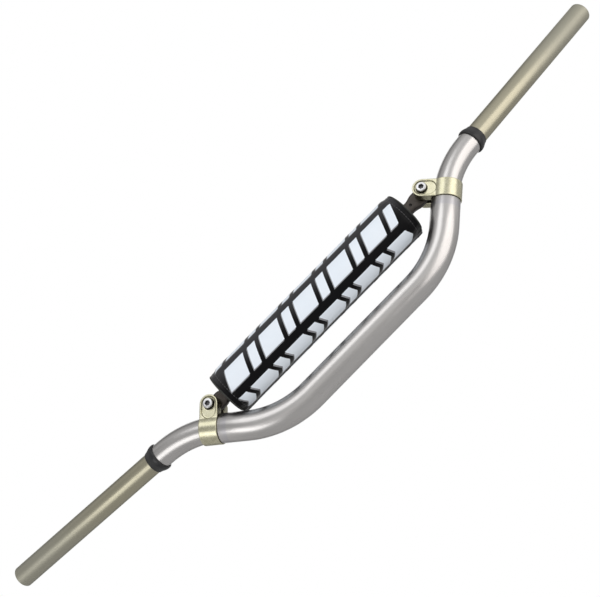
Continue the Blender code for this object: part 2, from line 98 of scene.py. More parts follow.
# Clamps and their screws
CLAMP_PAST_RISER = 0.0053
CLAMP_WIDTH = 0.0186
CLAMP_BAND_DIAMETER = 0.0306
CLAMP_BOLT_REACH = 0.0222
CLAMP_EAR_THICKNESS = 0.0095
CLAMP_VOXEL = 0.00034
CLAMP_SMOOTHING = 7
CLAMP_SIDES = 96
CLAMP_EAR_STEPS = 40
POCKET_RIM = 0.0020
POCKET_DEPTH = 0.0015
POCKET_LENGTH = 0.0070
COUNTERBORE_DEPTH = 0.0025
SCREW_DIAMETER = 0.0060
SCREW_EDGE = 0.0006
SCREW_TIP_INSET = 0.0008
HEAD_DIAMETER = 0.0100
HEAD_HEIGHT = 0.0060
HEAD_UNDERCUT = 0.0002
KNURLS = 36
KNURL_DEPTH = 0.00022
KNURL_MARGIN = 0.0003
SOCKET_ACROSS_FLATS = 0.0050
SOCKET_DEPTH = 0.0030
SOCKET_MOUTH = 0.0003
# Depth below the screw's top where the socket's painted shade starts
SOCKET_SHADE_FROM = 0.0004
SOCKET_MARGIN = 0.00004
TURNING_MARKS = 42000.0
HOLE_SIDES = 48

# Crossbar
CROSSBAR_DIAMETER = 0.0127
CROSSBAR_FLAT_THICKNESS = 0.0064
CROSSBAR_FLAT_WIDTH = 0.0170
FLAT_FROM_BOLT = 0.0240
FLATTENING_LENGTH = 0.0090
SPADE_FROM_BOLT = 0.0100
SPADE_TURN = math.radians(86.0)
SPADE_EDGE = 0.0007
SPADE_EDGE_STEPS = 3
VENT_DIAMETER = 0.0034
VENT_FROM_BOLT = 0.0178
VENT_SIDES = 30
CUTTER_REACH = 0.0200
CROSSBAR_SIDES = 64
ROUND = 2.0
FLAT = 6.0

# Pad cover
COVER_THICKNESS = 0.0010
COVER_ROUND_STEPS = 180
COVER_LONG_STEPS = 150
FLAP_WIDTH = 0.0230
FLAP_RISE = 0.0080
TAPE_WIDTH = 0.0170
TAPE_THICKNESS = 0.0007
TAPE_SHIFT = 0.0011
SEAM_ANGLE = math.radians(-18.0)
HEM_DEPTH = 0.0016
HEM_TUCK = 0.0006
HEM_TUCK_WIDTH = 0.0040
HEM_STITCH_INSET = 0.0058
SEWN_WIDTH = 0.0068
STITCH_GROOVE = 0.00035
STITCH_GROOVE_WIDTH = 0.0012
PUCKERS = 34
PUCKER_DEPTH = 0.00011
PUCKER_REACH = 0.0060
FOLD_DEPTH = 0.00014
STITCH_PITCH = 0.0034
STITCH_LENGTH = 0.0025
THREAD_RADIUS = 0.00028
THREAD_PROUD = 0.3
FLAP_STITCH_INSETS = (0.0025, 0.0175)
FLAP_STITCH_END = 0.0040

# How the cover's skin swells
SWELL_START = 0.0014
SWELL_CAP = 0.0012
SWELL_VOXEL = 0.0040
SWELL_FRAMES = 20
PRESSURE = 4000.0
SKIN_STIFFNESS = 5.0
SKIN_END = 0.0030
SKIN_INSET = 0.0002
RAY_START = 0.0150

# Pad ends and foam
END_THICKNESS = 0.0015
DISC_THICKNESS = 0.0008
DISC_GAP = 0.0011
DISC_SHIFT = 0.0005
DISC_CROWN = 0.0006
DISC_GATHERS = 18
DISC_GATHER_DEPTH = 0.00045
DISC_SIDES = 144
PIPING_RADIUS = 0.0009
PIPING_INSET = 0.001175
PIPING_TUCK = 0.00009
PIPING_SIDES = 120
BORE_GAP = 0.0008
FOAM_SLIT = 0.0010
FOAM_GAP = 0.0013
FOAM_END_GAP = 0.0006

# Places read from the frame
SCREW_LOW, SCREW_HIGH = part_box("clamp_screw_right")
BOLT_X = (SCREW_LOW.x + SCREW_HIGH.x) / 2
CROSSBAR_LOW, CROSSBAR_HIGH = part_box("crossbar")
CROSSBAR_HEIGHT = (CROSSBAR_LOW.z + CROSSBAR_HIGH.z) / 2
PAD_LOW, PAD_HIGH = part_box("pad_cover")
PAD_LEFT = PAD_LOW.x
PAD_RIGHT = PAD_HIGH.x
PAD_RADIUS = CROSSBAR_HEIGHT - PAD_LOW.z

# The print's layout: rows run round the pad, and one row faces the front and a little down
FRONT = Vector((0.0, -0.883, -0.469))
SIDE = Vector((0.0, 0.469, -0.883))
ROWS = 5
ROW_TURN = 2 * math.pi / ROWS
FACING_ROW = math.radians(-19.5)
ROW_WIDTH = 0.0215
SLANT = 0.42
MOTIF_LENGTH = 0.0461
BLOCK_SHARE = 0.53
GAP_SHARE = 0.128
ODD_START = (BLOCK_SHARE + GAP_SHARE) * MOTIF_LENGTH
PRINT_MARGIN = 0.0112
SHADOW_ALONG = 0.0014
SHADOW_ACROSS = 0.0010

# Camera and light
CAMERA_PLACE = Vector((-0.0384, -0.6776, -0.2850))
CAMERA_AIM = Vector((-0.0124, 0.0, 0.0803))
CAMERA_ROLL = math.radians(-46.43)
CAMERA_LENS = 46.93
SENSOR_WIDTH = 36.0
FLOOR_DROP = 2.1
FLOOR_SIZE = 20.0
FLOOR_FADES = 3.5
FLOOR_LIGHT = (0.89, 0.89, 0.89)
FLOOR_DARK = (0.86, 0.86, 0.86)
ROOM_LEVEL = 0.655
ROOM_FALL = 0.23
ROOM_DIP = 0.28
RIGHT_LIFT = 0.20
LEFT_LIFT = 0.10
DARK_SIDE = Vector((-0.53, -0.74, 0.41)).normalized()
DARK_SIDE_DIP = 0.28
WHITE_FROM = 0.80
WHITE_FULL = 0.872
NEUTRAL = (1.0, 1.0, 1.0)
WARM = (1.0, 0.962, 0.935)
COOL = (0.985, 0.99, 1.0)

CREASE = math.radians(38.0)
WELD = 1e-6
MIRROR = Matrix.Diagonal((-1, 1, 1, 1))


class Signal:
    """One output of a shader node; arithmetic on it adds the nodes."""

    def __init__(self, shading, socket):
        self.shading = shading
        self.socket = socket

    def __add__(self, other):
        return self.shading.maths("ADD", self, other)

    __radd__ = __add__

    def __sub__(self, other):
        return self.shading.maths("SUBTRACT", self, other)

    def __rsub__(self, other):
        return self.shading.maths("SUBTRACT", other, self)

    def __mul__(self, other):
        return self.shading.maths("MULTIPLY", self, other)

    __rmul__ = __mul__

    def __truediv__(self, other):
        return self.shading.maths("DIVIDE", self, other)

    def __gt__(self, other):
        return self.shading.maths("GREATER_THAN", self, other)

    def __lt__(self, other):
        return self.shading.maths("LESS_THAN", self, other)


class Shading:
    """A node tree whose nodes are all made by one method."""

    def __init__(self, tree):
        self.tree = tree

    def plug(self, socket, value):
        if isinstance(value, Signal):
            self.tree.links.new(value.socket, socket)
        elif isinstance(value, tuple) and socket.type == "RGBA":
            socket.default_value = (*value, 1.0)
        else:
            socket.default_value = value

    def add(self, kind, inputs=None, output=0, **settings):
        """A node of a kind, its settings first, then its sockets; gives one output."""
        made = self.tree.nodes.new(kind)
        for name, value in settings.items():
            setattr(made, name, value)
        for socket, value in (inputs or {}).items():
            self.plug(made.inputs[socket], value)
        return Signal(self, made.outputs[output])

    def maths(self, operation, *values):
        return self.add("ShaderNodeMath", dict(enumerate(values)), operation=operation)

    def between(self, value, low, high):
        """1 where the value lies between two limits."""
        return (value > low) * (value < high)

    def ramp(self, value, low, high):
        """0 below low, 1 above high, smooth between."""
        limits = {"Value": value, "From Min": low, "From Max": high}
        return self.add("ShaderNodeMapRange", limits, interpolation_type="SMOOTHSTEP")

    def mix(self, share, first, second):
        return self.add("ShaderNodeMix", {0: share, 6: first, 7: second}, output=2, data_type="RGBA")

    def stretched(self, vector, scale):
        return self.add("ShaderNodeVectorMath", {0: vector, 1: scale}, operation="MULTIPLY")

    def dot(self, vector, direction):
        socket = {0: vector, 1: direction}
        return self.add("ShaderNodeVectorMath", socket, output=1, operation="DOT_PRODUCT")

    def axes(self, vector):
        split = self.add("ShaderNodeSeparateXYZ", {0: vector})
        return [Signal(self, socket) for socket in split.socket.node.outputs]


class Finish(Shading):
    """A material with a Principled shader and patterns in the piece's own coordinates."""

    def __init__(self, name):
        self.material = bpy.data.materials.new(name)
        self.material.use_nodes = True
        super().__init__(self.material.node_tree)
        self.shader = self.tree.nodes["Principled BSDF"]
        self.place = self.add("ShaderNodeTexCoord", output=3)

    def set(self, **values):
        """Fills the shader's sockets and gives the material."""
        for name, value in values.items():
            self.plug(self.shader.inputs[name.replace("_", " ")], value)
        return self.material

    def noise(self, scale, detail, roughness=0.5, vector=None):
        """Noise over the piece's own coordinates, or over another vector."""
        inputs = {"Scale": scale, "Detail": detail, "Roughness": roughness}
        inputs["Vector"] = vector or self.place
        return self.add("ShaderNodeTexNoise", inputs)

    def cells(self, scale):
        return self.add("ShaderNodeTexVoronoi", {"Vector": self.place, "Scale": scale})

    def bump(self, height, distance, strength):
        inputs = {"Height": height, "Distance": distance, "Strength": strength}
        return self.add("ShaderNodeBump", inputs)

    def textured(self, pattern, dark, light, roughness, depth, strength):
        """Colour and relief that follow one pattern."""
        relief = self.bump(pattern, depth, strength)
        return self.set(Base_Color=self.mix(pattern, dark, light), Roughness=roughness, Normal=relief)


class TubeFinish(Finish):
    """Drawn and anodised tube: lines, clouds and scratches that follow its bends."""

    def __init__(self, name, lines, clouds):
        super().__init__(name)
        self.lay = self.add("ShaderNodeAttribute", output=1, attribute_name="lay")
        self.along = self.axes(self.lay)[0]
        self.station = self.maths("ABSOLUTE", self.along)
        self.drawn = self.streaks(lines, 2.0)
        self.cloud = self.noise(clouds, 3.0, vector=self.lay)
        self.scratches = self.ramp(self.streaks((60.0, 900.0, 900.0), 1.0), 0.66, 0.76)
        grain = self.noise(3000.0, 1.0)
        relief = self.bump(self.drawn * 1.6 + grain * 0.5, 0.000020, 0.55)
        self.set(Metallic=1.0, Normal=relief)

    def streaks(self, stretch, detail):
        return self.noise(1.0, detail, vector=self.stretched(self.lay, stretch))


# Finishes


def satin_silver():
    """Bead-blasted and clear-anodised aluminium, with a darker anodised ring beside each clamp."""
    finish = TubeFinish("satin_silver", (8.0, 850.0, 850.0), 34.0)
    drawn = finish.drawn
    cloud = finish.cloud
    edge = finish.station + cloud * 0.0012
    faded = finish.ramp(edge, RING_START + RING_FADES_FROM, RING_START + RING_FADES_TO)
    started = finish.ramp(edge, RING_START, RING_START + RING_EDGE)
    ring = started * (1.0 - faded * 0.7) * (edge < SHOULDER_END + RING_PAST_SHOULDER)
    tone = cloud * 0.65 + drawn * 0.35
    plain = finish.mix(tone, (0.456, 0.444, 0.434), (0.505, 0.492, 0.482))
    ringed = finish.mix(cloud, (0.412, 0.403, 0.414), (0.466, 0.456, 0.468))
    return finish.set(
        Base_Color=finish.mix(ring, plain, ringed),
        Roughness=0.22 + drawn * 0.10 + cloud * 0.05 + ring * 0.04 + finish.scratches * 0.06,
    )


def olive_bronze():
    """Bronze anodising that turns greyer towards the ends of the grips."""
    finish = TubeFinish("olive_bronze", (6.0, 800.0, 800.0), 28.0)
    right = finish.along > 0.0
    towards_end = finish.ramp(finish.station, OUTER_END + GREY_FROM, OUTER_END + GREY_TO)
    duller = towards_end * (0.10 + right * 0.12)
    tone = finish.cloud * 0.6 + finish.drawn * 0.4
    near = finish.mix(tone, (0.360, 0.337, 0.250), (0.400, 0.377, 0.288))
    far = finish.mix(tone, (0.345, 0.334, 0.272), (0.385, 0.373, 0.308))
    return finish.set(
        Base_Color=finish.mix(towards_end, near, far),
        Roughness=0.28 + finish.drawn * 0.10 + finish.cloud * 0.04 + finish.scratches * 0.06 + duller,
    )


def collar_black():
    """Smooth moulded nylon with a soft sheen."""
    finish = Finish("collar_black")
    cloud = finish.noise(120.0, 2.0)
    return finish.set(
        Specular_IOR_Level=0.36,
        Base_Color=finish.mix(cloud, (0.011, 0.011, 0.012), (0.019, 0.019, 0.020)),
        Roughness=0.30 + cloud * 0.12,
        Normal=finish.bump(finish.noise(2600.0, 2.0), 0.00003, 0.5),
    )


def champagne_gold():
    """Forged, tumbled and anodised pale gold: glossy, with fine orange peel and mottling."""
    finish = Finish("champagne_gold")
    grain = finish.noise(1300.0, 3.0, 0.6)
    mottle = finish.ramp(finish.noise(260.0, 4.0, 0.65), 0.35, 0.68)
    return finish.set(
        Base_Color=finish.mix(mottle, (0.462, 0.442, 0.312), (0.538, 0.517, 0.384)),
        Metallic=1.0,
        Roughness=0.205 + grain * 0.10 + mottle * 0.04,
        Normal=finish.bump(grain, 0.00003, 0.45),
    )


def bright_screw():
    """Bright zinc with turning marks on the head; inside the socket it is rougher, with shade painted
    dark into its colour.
    """
    finish = Finish("bright_screw")
    x, y, z = finish.axes(finish.place)
    away_x = finish.maths("ABSOLUTE", x) - BOLT_X
    away_z = z - BOLT_HEIGHT
    radius = finish.maths("SQRT", away_x * away_x + away_z * away_z)
    # Painted shade: the socket's inside is darkened in the base colour, where the recess would lie in
    # shadow.
    socket_painted_shade = (radius < SOCKET_CORNER + SOCKET_MARGIN) * (y > SCREW_TOP + SOCKET_SHADE_FROM)
    turning = finish.maths("SINE", radius * TURNING_MARKS)
    grain = finish.noise(2400.0, 2.0)
    zinc = finish.mix(finish.noise(300.0, 2.0), (0.46, 0.46, 0.47), (0.57, 0.57, 0.57))
    return finish.set(
        Base_Color=finish.mix(socket_painted_shade, zinc, (0.16, 0.16, 0.165)),
        Metallic=1.0,
        Roughness=0.20 + grain * 0.10 + socket_painted_shade * 0.25,
        Normal=finish.bump(grain + turning * 0.15, 0.00002, 0.5),
    )


def dark_crossbar():
    """Dark grey-brown hard anodising, drawn along X."""
    finish = Finish("dark_crossbar")
    along_x = finish.stretched(finish.place, (20.0, 1600.0, 1600.0))
    drawn = finish.noise(1.0, 3.0, vector=along_x)
    cloud = finish.noise(110.0, 3.0)
    return finish.set(
        Base_Color=finish.mix(cloud, (0.038, 0.033, 0.030), (0.066, 0.059, 0.054)),
        Metallic=1.0,
        Roughness=0.32 + drawn * 0.1,
        Normal=finish.bump(drawn, 0.00004, 0.6),
    )


def motifs(finish, along, across, odd):
    """Mask of the print: slanted blocks in the even rows, arrow heads in the odd ones."""
    skewed = along + (across * (1.0 - odd) + finish.maths("ABSOLUTE", across) * odd) * SLANT
    run = (skewed - PRINT_MARGIN + odd * ODD_START) / MOTIF_LENGTH
    step = run - finish.maths("FLOOR", run)
    block = finish.between(step, 0.0, BLOCK_SHARE)
    bar = finish.between(step, BLOCK_SHARE + GAP_SHARE, 1.0 - GAP_SHARE)
    in_row = finish.maths("ABSOLUTE", across) < ROW_WIDTH / 2
    inside = finish.between(skewed, PRINT_MARGIN, PAD_LENGTH - PRINT_MARGIN)
    return (block + bar) * in_row * inside


def printed_vinyl():
    """Black vinyl, painted lighter towards the top as a sheen of the top light, with a generic white
    print and its grey drop shadows.
    """
    finish = Finish("printed_vinyl")
    x, y, z = finish.axes(finish.place)
    from_left = x - PAD_LEFT
    height = z - CROSSBAR_HEIGHT
    towards_front = y * FRONT.y + height * FRONT.z
    towards_side = y * SIDE.y + height * SIDE.z
    angle = finish.maths("ARCTAN2", towards_side, towards_front)
    turn = (angle - FACING_ROW) / ROW_TURN + 0.5
    row = finish.maths("FLOOR", turn)
    across = (turn - row - 0.5) * (ROW_TURN * PAD_RADIUS)
    row_number = finish.maths("FLOORED_MODULO", row + 2.0, ROWS)
    odd = finish.maths("FLOORED_MODULO", row_number, 2.0)
    printed = motifs(finish, from_left, across, odd)
    shadow = motifs(finish, from_left + SHADOW_ALONG, across - SHADOW_ACROSS, odd)
    worn = finish.ramp(finish.noise(700.0, 4.0, 0.65), 0.68, 0.76)
    ink = printed * (1.0 - worn * 0.35)
    grain = finish.cells(1500.0)
    cloud = finish.noise(60.0, 3.0)
    base_black = finish.mix(cloud, (0.0022, 0.0022, 0.0026), (0.0042, 0.0042, 0.0050))
    # Painted sheen: the black is lightened towards the top of the pad, where the top light would glint
    # on the vinyl.
    painted_top_sheen = finish.ramp(height / PAD_RADIUS, -0.45, 0.55) * (0.8 + cloud * 0.4)
    black = finish.mix(painted_top_sheen, base_black, (0.040, 0.040, 0.043))
    grey = finish.mix(cloud, (0.20, 0.205, 0.22), (0.30, 0.31, 0.33))
    white = finish.mix(cloud, (0.715, 0.780, 0.858), (0.768, 0.820, 0.876))
    return finish.set(
        Specular_IOR_Level=0.08,
        Sheen_Weight=0.10,
        Sheen_Roughness=0.4,
        Base_Color=finish.mix(ink, finish.mix(shadow, black, grey), white),
        Roughness=0.34 + cloud * 0.08 + printed * 0.08,
        Normal=finish.bump(grain * 0.25 + printed * 0.5 + cloud, 0.00012, 0.5),
    )


def plain_vinyl():
    """The same vinyl without print, for the end discs."""
    finish = Finish("plain_vinyl")
    grain = finish.cells(1500.0)
    cloud = finish.noise(90.0, 3.0)
    return finish.set(
        Specular_IOR_Level=0.13,
        Base_Color=finish.mix(cloud, (0.004, 0.004, 0.005), (0.008, 0.008, 0.009)),
        Roughness=0.42 + cloud * 0.1,
        Normal=finish.bump(grain * 0.3 + cloud, 0.00015, 0.6),
    )


def piping_vinyl():
    """Slightly greyer vinyl, for the cord round each rim."""
    finish = Finish("piping_vinyl")
    cloud = finish.noise(400.0, 3.0)
    return finish.set(
        Specular_IOR_Level=0.3,
        Base_Color=finish.mix(cloud, (0.018, 0.019, 0.017), (0.034, 0.035, 0.031)),
        Roughness=0.40 + cloud * 0.1,
        Normal=finish.bump(cloud, 0.0001, 0.6),
    )


def grey_foam():
    """Open-cell foam."""
    finish = Finish("grey_foam")
    cells = finish.cells(1100.0)
    return finish.textured(cells, (0.035, 0.035, 0.037), (0.10, 0.10, 0.104), 0.95, 0.0004, 0.9)


def grey_tape():
    """Hook and loop tape: a dense nap of fine loops."""
    finish = Finish("grey_tape")
    nap = finish.cells(2600.0)
    return finish.textured(nap, (0.05, 0.05, 0.052), (0.17, 0.17, 0.175), 0.9, 0.0003, 0.9)


def stitch_thread():
    """Dark grey twisted thread."""
    finish = Finish("stitch_thread")
    twist = finish.noise(5000.0, 1.0)
    return finish.textured(twist, (0.06, 0.06, 0.062), (0.13, 0.13, 0.135), 0.7, 0.0001, 0.6)


# Geometry helpers


def new_verts(geometry):
    return [part for part in geometry if isinstance(part, bmesh.types.BMVert)]


def rim_edges(geometry):
    """The extruded edges that join two new vertices."""
    verts = set(new_verts(geometry))
    edges = [part for part in geometry if isinstance(part, bmesh.types.BMEdge)]
    return [edge for edge in edges if edge.verts[0] in verts and edge.verts[1] in verts]


def everything(builder):
    return [*builder.verts, *builder.edges, *builder.faces]


def move(builder, matrix):
    bmesh.ops.transform(builder, matrix=matrix, verts=builder.verts)


def face_outwards(builder):
    bmesh.ops.recalc_face_normals(builder, faces=builder.faces)


def smooth_step(share):
    share = min(max(share, 0.0), 1.0)
    return share * share * (3 - 2 * share)


def spread(start, end, steps):
    """Evenly spaced values, both ends included."""
    return [start + (end - start) * step / steps for step in range(steps + 1)]


def placed(name, data):
    item = bpy.data.objects.new(name, data)
    bpy.context.scene.collection.objects.link(item)
    return item


def as_mesh(name, builder):
    mesh = bpy.data.meshes.new(name)
    builder.to_mesh(mesh)
    builder.free()
    return mesh


def finished(name, builder, finish, slot, *nodes, side=1, crease=CREASE):
    """Makes the piece, mirrored for the left side, and lets it stand for its CAD nodes."""
    if side < 0:
        bmesh.ops.scale(builder, vec=(-1, 1, 1), verts=builder.verts)
        bmesh.ops.reverse_faces(builder, faces=builder.faces)
    mesh = as_mesh(name, builder)
    mesh.shade_smooth()
    mesh.set_sharp_from_angle(angle=crease)
    mesh.materials.append(finish)
    piece = placed(name, mesh)
    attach(piece, "root")
    if nodes:
        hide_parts(*nodes)
    return piece


def temporary(builder):
    return placed("temporary", as_mesh("temporary", builder))


def evaluated(item):
    """The mesh that an object's modifiers give, as a bmesh; the object is then removed."""
    graph = bpy.context.evaluated_depsgraph_get()
    builder = bmesh.new()
    builder.from_object(item, graph)
    bpy.data.objects.remove(item, do_unlink=True)
    return builder


def carved(body, *steps):
    """Applies (operation, cutter) steps to a bmesh and gives the result as a bmesh."""
    item = temporary(body)
    tools = []
    for operation, cutter in steps:
        tool = temporary(cutter)
        tools.append(tool)
        step = item.modifiers.new(operation, "BOOLEAN")
        step.operation = operation
        step.object = tool
        step.solver = "EXACT"
    result = evaluated(item)
    for tool in tools:
        bpy.data.objects.remove(tool, do_unlink=True)
    return result


def remeshed(builder, voxel, smoothing=0):
    """Even skin of small faces; smoothing rounds every corner a little."""
    item = temporary(builder)
    step = item.modifiers.new("voxels", "REMESH")
    step.mode = "VOXEL"
    step.voxel_size = voxel
    result = evaluated(item)
    axes = {"use_axis_x": True, "use_axis_y": True, "use_axis_z": True}
    for _ in range(smoothing):
        bmesh.ops.smooth_vert(result, verts=result.verts, factor=0.5, **axes)
    return result


def extruded(builder, edges, rows):
    """Extrudes edges through rows of places and gives the last row's edges."""
    for row in rows:
        grown = bmesh.ops.extrude_edge_only(builder, edges=edges)["geom"]
        for vert, place in zip(new_verts(grown), row):
            vert.co = place
        edges = rim_edges(grown)
    return edges


def walled(builder, thickness):
    bmesh.ops.solidify(builder, geom=everything(builder), thickness=thickness)
    face_outwards(builder)


def arc_step(axis, radius, angle):
    centre = axis.cross(Vector((1, 0, 0))) * radius
    return Matrix.Translation(centre) @ Matrix.Rotation(angle, 4, axis) @ Matrix.Translation(-centre)


def centre_line():
    """Stretches of the right half: length, turning axis in the local frame, and radius."""
    riser = Vector((math.cos(RISER_ANGLE), 0, math.sin(RISER_ANGLE)))
    grip = Vector((
        math.cos(GRIP_RISE) * math.cos(GRIP_SWEEP),
        math.cos(GRIP_RISE) * math.sin(GRIP_SWEEP),
        math.sin(GRIP_RISE),
    ))
    lower_axis = Vector((0, -1, 0))
    local_grip = Matrix.Rotation(RISER_ANGLE, 4, lower_axis).inverted() @ grip
    upper_axis = Vector((1, 0, 0)).cross(local_grip).normalized()
    return (
        (MIDDLE_HALF, None, 0),
        (LOWER_BEND_RADIUS * RISER_ANGLE, lower_axis, LOWER_BEND_RADIUS),
        (RISER_LENGTH, None, 0),
        (UPPER_BEND_RADIUS * riser.angle(grip), upper_axis, UPPER_BEND_RADIUS),
        (GRIP_LENGTH, None, 0),
    )


CENTRE_LINE = centre_line()
BAR_HALF = sum(length for length, _, _ in CENTRE_LINE)


def frame_at(station):
    """Matrix whose X axis is the bar's direction at a station; left of the middle is negative."""
    if station < 0:
        return MIRROR @ frame_at(-station) @ MIRROR
    matrix = Matrix.Identity(4)
    left = station
    for length, axis, radius in CENTRE_LINE:
        run = min(left, length)
        if axis is None:
            matrix = matrix @ Matrix.Translation((run, 0, 0))
        else:
            matrix = matrix @ arc_step(axis, radius, run / radius)
        left -= run
        if left <= 0:
            break
    return matrix


def bend_stations():
    """Rings that the bends need, over the whole bar."""
    rings = [0.0]
    reached = 0.0
    for length, axis, _ in CENTRE_LINE:
        steps = 1 if axis is None else BEND_STEPS
        rings += [reached + length * step / steps for step in range(1, steps + 1)]
        reached += length
    return sorted({round(ring, 7) for ring in rings + [-ring for ring in rings]})


def skin(end, radius_of, extra=()):
    """Rings of (station, radius) from -end to end."""
    stations = [ring for ring in bend_stations() if abs(ring) < end]
    stations = sorted({*stations, *extra, *[-ring for ring in extra], end, -end})
    return [(station, radius_of(abs(station))) for station in stations]


def swept_rings(builder, rings, note=None):
    """Extrudes a circle through rings of (station, radius); gives the first and last ring's edges."""
    station, radius = rings[0]
    upright = frame_at(station) @ Matrix.Rotation(math.pi / 2, 4, "Y")
    bmesh.ops.create_circle(builder, segments=TUBE_SIDES, radius=radius, matrix=upright)
    first = list(builder.edges)
    if note:
        note(builder.verts, station)
    edges = first
    for next_station, next_radius in rings[1:]:
        grown = bmesh.ops.extrude_edge_only(builder, edges=edges)["geom"]
        verts = new_verts(grown)
        growth = next_radius / radius
        scale = Matrix.Diagonal((1, growth, growth, 1))
        step = frame_at(next_station) @ scale @ frame_at(station).inverted()
        bmesh.ops.transform(builder, matrix=step, verts=verts)
        if note:
            note(verts, next_station)
        edges = rim_edges(grown)
        station = next_station
        radius = next_radius
    return first, edges


def swept_tube(rings):
    """Tube through the rings and back to the first one. The attribute lay holds each vertex's
    place along and round the bar."""
    builder = bmesh.new()
    lay = builder.verts.layers.float_vector.new("lay")

    def note(verts, station):
        back = frame_at(station).inverted()
        for vert in verts:
            vert[lay] = (station, *(back @ vert.co).yz)

    first, last = swept_rings(builder, rings, note)
    bmesh.ops.bridge_loops(builder, edges=first + last)
    face_outwards(builder)
    return builder


def turned(points, sides, matrix, closed=True):
    """Revolves (along X, radius) points about the local X axis."""
    builder = bmesh.new()
    verts = [builder.verts.new((x, 0, radius)) for x, radius in points]
    count = len(verts) if closed else len(verts) - 1
    edges = [builder.edges.new((verts[i], verts[(i + 1) % len(verts)])) for i in range(count)]
    bmesh.ops.spin(
        builder, geom=[*verts, *edges], cent=(0, 0, 0), axis=(1, 0, 0),
        angle=2 * math.pi, steps=sides, use_merge=True, use_duplicate=False,
    )
    bmesh.ops.remove_doubles(builder, verts=builder.verts, dist=WELD)
    face_outwards(builder)
    move(builder, matrix)
    return builder


def arc(centre_x, centre_z, radius, start, end, steps):
    angles = spread(start, end, steps)
    return [(centre_x + radius * math.cos(a), centre_z + radius * math.sin(a)) for a in angles]


def prism(outline, depth_from, depth_to, matrix):
    """Extrudes an outline of (X, Z) points along local Y."""
    builder = bmesh.new()
    face = builder.faces.new([builder.verts.new((x, depth_from, z)) for x, z in outline])
    grown = bmesh.ops.extrude_face_region(builder, geom=[face])["geom"]
    bmesh.ops.translate(builder, vec=(0, depth_to - depth_from, 0), verts=new_verts(grown))
    face_outwards(builder)
    move(builder, matrix)
    return builder


def rod(radius, depth_from, depth_to, sides, matrix):
    """Cylinder along local Y."""
    builder = bmesh.new()
    middle = (depth_from + depth_to) / 2
    upright = Matrix.Translation((0, middle, 0)) @ Matrix.Rotation(math.pi / 2, 4, "X")
    bmesh.ops.create_cone(
        builder, cap_ends=True, segments=sides, radius1=radius, radius2=radius,
        depth=depth_to - depth_from, matrix=matrix @ upright,
    )
    return builder


# Tubes and collars

CLAMP_FRAME = frame_at(RISER_END) @ Matrix.Translation((CLAMP_PAST_RISER, 0, 0))
BOLT_FRAME = CLAMP_FRAME @ Matrix.Translation((0, 0, CLAMP_BOLT_REACH))
BOLT_HEIGHT = BOLT_FRAME.translation.z
SHOULDER_START = RISER_END + CLAMP_PAST_RISER - CLAMP_WIDTH / 2 - SHOULDER_BEFORE_CLAMP
SHOULDER_END = SHOULDER_START + SHOULDER_LENGTH


def outer_tube(finish):
    """Middle and risers, swaged down to a neck inside each clamp."""

    def narrowing(wide, slim):
        def radius_of(station):
            share = (station - SHOULDER_START) / SHOULDER_LENGTH
            return wide + (slim - wide) * smooth_step(share)
        return radius_of

    shoulder = spread(SHOULDER_START, SHOULDER_END, SHOULDER_STEPS)
    wide = OUTER_DIAMETER / 2
    outside = skin(OUTER_END, narrowing(wide, NECK_DIAMETER / 2), shoulder)
    bore = skin(OUTER_END, narrowing(wide - OUTER_WALL, NECK_BORE / 2), shoulder)
    builder = swept_tube(outside + bore[::-1])
    return finished("bar_outer_tube", builder, finish, "satin_silver", "outer_tube")


def inner_tube(finish):
    """Tube through the whole bar, with rounded edges at its open ends."""
    outside = INNER_DIAMETER / 2
    bore = outside - INNER_WALL
    edge = BAR_HALF - INNER_EDGE
    rounds = [edge + INNER_EDGE * math.sin(math.radians(a)) for a in (0, 22, 45, 67)]

    def edged(radius, direction):
        def radius_of(station):
            past = max(station - edge, 0) / INNER_EDGE
            return radius - direction * INNER_EDGE * (1 - math.sqrt(max(1 - past * past, 0)))
        return radius_of

    outer_skin = skin(BAR_HALF, edged(outside, 1), rounds)
    inner_skin = skin(BAR_HALF, edged(bore, -1), rounds)
    builder = swept_tube(outer_skin + inner_skin[::-1])
    return finished("bar_inner_tube", builder, finish, "olive_bronze", "inner_tube")


def collar(name, side, node, finish):
    """Cup over the outer tube's end, with a lip, and a nose that tapers to the inner tube."""
    cup = NECK_DIAMETER / 2 + FIT
    throat = INNER_DIAMETER / 2 + FIT
    length = COLLAR_OVERLAP + COLLAR_NOSE
    wide = COLLAR_DIAMETER / 2
    nose = COLLAR_NOSE_DIAMETER / 2
    profile = [(0.0, cup)]
    profile += arc(COLLAR_LIP, wide - COLLAR_LIP, COLLAR_LIP, math.pi, math.pi / 2, 6)
    for share in spread(0, 1, EASE_STEPS):
        x = COLLAR_STRAIGHT + (length - COLLAR_EDGE - COLLAR_STRAIGHT) * share
        slope = share + (smooth_step(share) - share) * COLLAR_EASE
        profile.append((x, wide + (nose - wide) * slope))
    profile += [(length, nose - COLLAR_EDGE), (length, throat)]
    profile += [(COLLAR_OVERLAP + FIT, throat), (COLLAR_OVERLAP + FIT, cup)]
    builder = turned(profile, COLLAR_SIDES, frame_at(OUTER_END - COLLAR_OVERLAP))
    return finished(name, builder, finish, "black_collar", node, side=side)


# Clamps and screws

BAND_RADIUS = CLAMP_BAND_DIAMETER / 2
SLOT_HALF = CROSSBAR_FLAT_THICKNESS / 2 + FIT
EAR_FACE = SLOT_HALF + CLAMP_EAR_THICKNESS
EAR_RADIUS = CLAMP_WIDTH / 2
POCKET_RADIUS = EAR_RADIUS - POCKET_RIM
SCREW_SEAT = EAR_FACE - POCKET_DEPTH - COUNTERBORE_DEPTH
SCREW_TOP = -SCREW_SEAT - FIT - HEAD_HEIGHT
SOCKET_CORNER = SOCKET_ACROSS_FLATS / 2 / math.cos(math.pi / 6)


